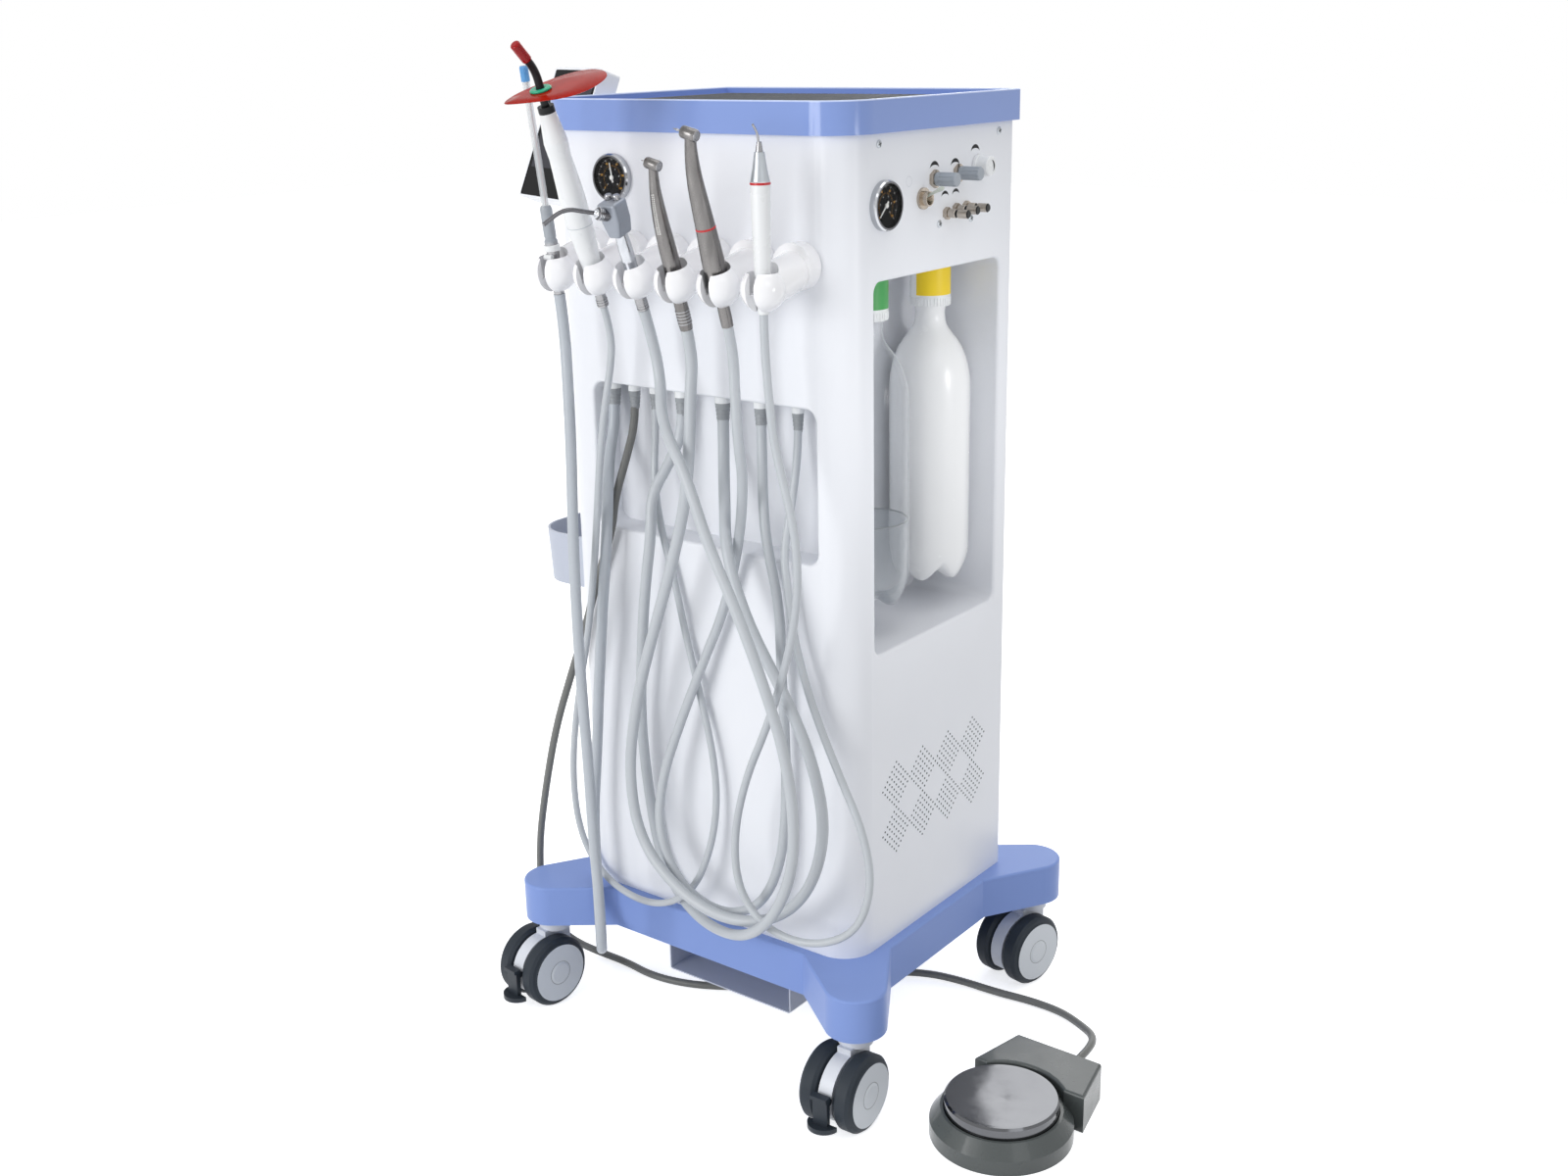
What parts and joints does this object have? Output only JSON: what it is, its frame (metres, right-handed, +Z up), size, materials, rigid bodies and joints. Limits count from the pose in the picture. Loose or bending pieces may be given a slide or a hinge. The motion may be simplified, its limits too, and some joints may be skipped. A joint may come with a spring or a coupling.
{
  "type": "portable dental unit",
  "caption": "Mobile dental treatment cart: white cabinet with instrument holders, coiled hoses, water bottles in a side alcove, top tray, touch panel and foot pedal on a caster base.",
  "frame": {"origin": "under the middle of the outline on the floor, hoses left out", "axes": "+Z up, -Y the side the instruments hang on, +X the side with the bottles and valves"},
  "size_m": [0.706, 0.4779, 0.9864],
  "materials": {
    "white_shell": "satin",
    "blue_plastic": "satin",
    "ribbed_mat": "matte",
    "grey_sheet": "satin",
    "pale_plastic": "satin",
    "caster_pale": "matte",
    "slate_plastic": "matte",
    "knob_grey": "matte",
    "tyre_slate": "matte",
    "steel": "brushed",
    "dark_steel": "brushed",
    "bright_chrome": "polished",
    "clear_plastic": "clear",
    "milky_plastic": "translucent",
    "orange_acrylic": "translucent",
    "dark_fibre": "gloss",
    "pedal_grey": "gloss",
    "mirror_steel": "mirror",
    "warm_hose": "matte",
    "blue_hose": "matte",
    "dark_hose": "matte",
    "tank_metal": "satin",
    "needle_white": "matte",
    "gauge_glass": "clear"
  },
  "bodies": {
    "unit": {"base_frame": "blue_plastic", "cabinet_shell": "white_shell", "back_cover": "white_shell", "tray": "blue_plastic", "tray_mat": "ribbed_mat", "pedal_shelf": "grey_sheet", "side_bin": "pale_plastic", "instrument_holders": "pale_plastic", "gauge_cases": "bright_chrome", "gauge_glasses": "gauge_glass", "panel_fittings": "bright_chrome", "bottle_caps": "pale_plastic", "panel_bracket": "grey_sheet", "compressor": "tank_metal", "pedal_housing": "pedal_grey", "suction_hose": "blue_hose", "curing_hose": "warm_hose", "syringe_hose": "warm_hose", "turbine_hose": "warm_hose", "motor_hose": "warm_hose", "scaler_hose": "warm_hose", "foot_hose": "dark_hose"},
    "caster_front_right": {"caster_front_right_housing": "caster_pale"},
    "wheels_front_right": {"caster_front_right_wheels": "tyre_slate"},
    "brake_front_right": {"brake_front_right": "slate_plastic"},
    "caster_front_left": {"caster_front_left_housing": "caster_pale"},
    "wheels_front_left": {"caster_front_left_wheels": "tyre_slate"},
    "brake_front_left": {"brake_front_left": "slate_plastic"},
    "caster_back_right": {"caster_back_right_housing": "caster_pale"},
    "wheels_back_right": {"caster_back_right_wheels": "tyre_slate"},
    "caster_back_left": {"caster_back_left_housing": "caster_pale"},
    "wheels_back_left": {"caster_back_left_wheels": "tyre_slate"},
    "toggle": {"toggle_lever": "pale_plastic"},
    "air_knob": {"air_knob": "knob_grey"},
    "water_knob": {"water_knob": "knob_grey"},
    "needle_valve_1": {"needle_valve_1": "bright_chrome"},
    "needle_valve_2": {"needle_valve_2": "bright_chrome"},
    "needle_valve_3": {"needle_valve_3": "bright_chrome"},
    "scaler_knob": {"scaler_knob": "pale_plastic"},
    "needle_front": {"gauge_needle_front": "needle_white"},
    "needle_side": {"gauge_needle_side": "needle_white"},
    "panel_arm": {"panel_arm": "grey_sheet"},
    "panel": {"panel_housing": "pale_plastic"},
    "bottle_milky": {"bottle_milky": "milky_plastic"},
    "bottle_clear": {"bottle_clear": "clear_plastic"},
    "pedal_disc": {"pedal_disc": "mirror_steel"},
    "suction_instrument": {"suction_valve": "steel", "suction_tip": "clear_plastic"},
    "curing_instrument": {"curing_light": "pale_plastic"},
    "syringe_instrument": {"syringe": "steel"},
    "turbine_instrument": {"high_speed_handpiece": "dark_steel"},
    "motor_instrument": {"contra_angle": "dark_steel"},
    "scaler_instrument": {"scaler_handpiece": "pale_plastic", "scaler_tip": "bright_chrome"},
    "curing_tip": {"curing_guide": "dark_fibre", "curing_shield": "orange_acrylic"},
    "water_button": {"syringe_water_button": "bright_chrome"},
    "air_button": {"syringe_air_button": "bright_chrome"},
    "turbine_bur": {"high_speed_bur": "bright_chrome"},
    "motor_bur": {"contra_angle_bur": "bright_chrome"}
  },
  "joints": [
    {"name": "swivel_front_right", "type": "hinge", "parent": "unit", "child": "caster_front_right", "pos_m": [0.1545, -0.12405, 0.09], "axis": [0, 0, 1], "continuous": true},
    {"name": "roll_front_right", "type": "hinge", "parent": "caster_front_right", "child": "wheels_front_right", "pos_m": [0.15518, -0.14454, 0.038], "axis": [0.9995, 0.0332, 0], "continuous": true},
    {"name": "brake_press_front_right", "type": "hinge", "parent": "caster_front_right", "child": "brake_front_right", "pos_m": [0.15636, -0.18002, 0.042], "axis": [0.9995, 0.0332, 0], "range_deg": [0, 8]},
    {"name": "swivel_front_left", "type": "hinge", "parent": "unit", "child": "caster_front_left", "pos_m": [-0.2395, -0.12405, 0.09], "axis": [0, 0, 1], "continuous": true},
    {"name": "roll_front_left", "type": "hinge", "parent": "caster_front_left", "child": "wheels_front_left", "pos_m": [-0.24193, -0.14441, 0.038], "axis": [0.993, -0.1184, 0], "continuous": true},
    {"name": "brake_press_front_left", "type": "hinge", "parent": "caster_front_left", "child": "brake_front_left", "pos_m": [-0.24613, -0.17966, 0.042], "axis": [0.993, -0.1184, 0], "range_deg": [0, 8]},
    {"name": "swivel_back_right", "type": "hinge", "parent": "unit", "child": "caster_back_right", "pos_m": [0.1545, 0.20895, 0.09], "axis": [0, 0, 1], "continuous": true},
    {"name": "roll_back_right", "type": "hinge", "parent": "caster_back_right", "child": "wheels_back_right", "pos_m": [0.15038, 0.18887, 0.038], "axis": [0.9796, -0.2011, 0], "continuous": true},
    {"name": "swivel_back_left", "type": "hinge", "parent": "unit", "child": "caster_back_left", "pos_m": [-0.2395, 0.20895, 0.09], "axis": [0, 0, 1], "continuous": true},
    {"name": "roll_back_left", "type": "hinge", "parent": "caster_back_left", "child": "wheels_back_left", "pos_m": [-0.23736, 0.18856, 0.038], "axis": [0.9945, 0.1045, 0], "continuous": true},
    {"name": "toggle_flip", "type": "hinge", "parent": "unit", "child": "toggle", "pos_m": [0.1315, 0.02085, 0.8461], "axis": [0, 1, 0], "range_deg": [0, 50]},
    {"name": "air_knob_turn", "type": "hinge", "parent": "unit", "child": "air_knob", "pos_m": [0.1315, 0.03915, 0.8617], "axis": [1, 0, 0], "range_deg": [-150, 150]},
    {"name": "water_knob_turn", "type": "hinge", "parent": "unit", "child": "water_knob", "pos_m": [0.1315, 0.07905, 0.8641], "axis": [1, 0, 0], "range_deg": [-150, 150]},
    {"name": "needle_valve_1_turn", "type": "hinge", "parent": "unit", "child": "needle_valve_1", "pos_m": [0.1315, 0.05945, 0.8298], "axis": [1, 0, 0], "range_deg": [0, 1080]},
    {"name": "needle_valve_2_turn", "type": "hinge", "parent": "unit", "child": "needle_valve_2", "pos_m": [0.1315, 0.07565, 0.832], "axis": [1, 0, 0], "range_deg": [0, 1080]},
    {"name": "needle_valve_3_turn", "type": "hinge", "parent": "unit", "child": "needle_valve_3", "pos_m": [0.1315, 0.09315, 0.8326], "axis": [1, 0, 0], "range_deg": [0, 1080]},
    {"name": "scaler_knob_turn", "type": "hinge", "parent": "unit", "child": "scaler_knob", "pos_m": [0.1315, 0.11415, 0.868], "axis": [1, 0, 0], "range_deg": [-135, 135]},
    {"name": "gauge_front_reading", "type": "hinge", "parent": "unit", "child": "needle_front", "pos_m": [-0.1305, -0.09505, 0.8644], "axis": [0, -1, 0], "range_deg": [-145, 125], "stiffness_Nm_per_rad": 0.00001},
    {"name": "gauge_side_reading", "type": "hinge", "parent": "unit", "child": "needle_side", "pos_m": [0.1315, -0.04025, 0.8451], "axis": [1, 0, 0], "range_deg": [-270, 0], "stiffness_Nm_per_rad": 0.00001},
    {"name": "panel_swivel", "type": "hinge", "parent": "unit", "child": "panel_arm", "pos_m": [-0.2565, 0.03245, 0.868], "axis": [0, 0, 1], "range_deg": [-60, 25]},
    {"name": "panel_tilt", "type": "hinge", "parent": "panel_arm", "child": "panel", "pos_m": [-0.28308, 0.0344, 0.88243], "axis": [0.9323, -0.3616, 0], "range_deg": [-15, 20]},
    {"name": "bottle_milky_unscrew", "type": "hinge", "parent": "unit", "child": "bottle_milky", "pos_m": [0.0795, 0.11595, 0.74], "axis": [0, 0, 1], "continuous": true},
    {"name": "bottle_clear_unscrew", "type": "hinge", "parent": "unit", "child": "bottle_clear", "pos_m": [0.0795, 0.00895, 0.74], "axis": [0, 0, 1], "continuous": true},
    {"name": "pedal_press", "type": "slide", "parent": "unit", "child": "pedal_disc", "axis": [0, 0, -1], "range_m": [0, 0.006], "stiffness_N_per_m": 3000, "springref_m": -0.004},
    {"name": "suction_lift", "type": "slide", "parent": "unit", "child": "suction_instrument", "axis": [0, -0.1392, 0.9903], "range_m": [0, 0.07]},
    {"name": "curing_lift", "type": "slide", "parent": "unit", "child": "curing_instrument", "axis": [0, -0.3173, 0.9483], "range_m": [0, 0.07]},
    {"name": "syringe_lift", "type": "slide", "parent": "unit", "child": "syringe_instrument", "axis": [0, -0.342, 0.9397], "range_m": [0, 0.07]},
    {"name": "turbine_lift", "type": "slide", "parent": "unit", "child": "turbine_instrument", "axis": [0, -0.2756, 0.9613], "range_m": [0, 0.07]},
    {"name": "motor_lift", "type": "slide", "parent": "unit", "child": "motor_instrument", "axis": [0, -0.284, 0.9588], "range_m": [0, 0.07]},
    {"name": "scaler_lift", "type": "slide", "parent": "unit", "child": "scaler_instrument", "axis": [0, -0.0087, 1], "range_m": [0, 0.07]},
    {"name": "curing_tip_turn", "type": "hinge", "parent": "curing_instrument", "child": "curing_tip", "pos_m": [-0.1098, -0.19946, 0.93267], "axis": [0, -0.3173, 0.9483], "range_deg": [-90, 30]},
    {"name": "water_button_press", "type": "slide", "parent": "syringe_instrument", "child": "water_button", "axis": [0, 0.342, -0.9397], "range_m": [0, 0.002], "stiffness_N_per_m": 300, "springref_m": -0.001},
    {"name": "air_button_press", "type": "slide", "parent": "syringe_instrument", "child": "air_button", "axis": [0, 0.342, -0.9397], "range_m": [0, 0.002], "stiffness_N_per_m": 300, "springref_m": -0.001},
    {"name": "turbine_bur_spin", "type": "hinge", "parent": "turbine_instrument", "child": "turbine_bur", "pos_m": [-0.00393, -0.17835, 0.88392], "axis": [-0.9659, -0.0714, 0.2489], "continuous": true},
    {"name": "motor_bur_spin", "type": "hinge", "parent": "motor_instrument", "child": "motor_bur", "pos_m": [0.04517, -0.18704, 0.91008], "axis": [-0.9659, -0.0736, 0.2483], "continuous": true}
  ]
}
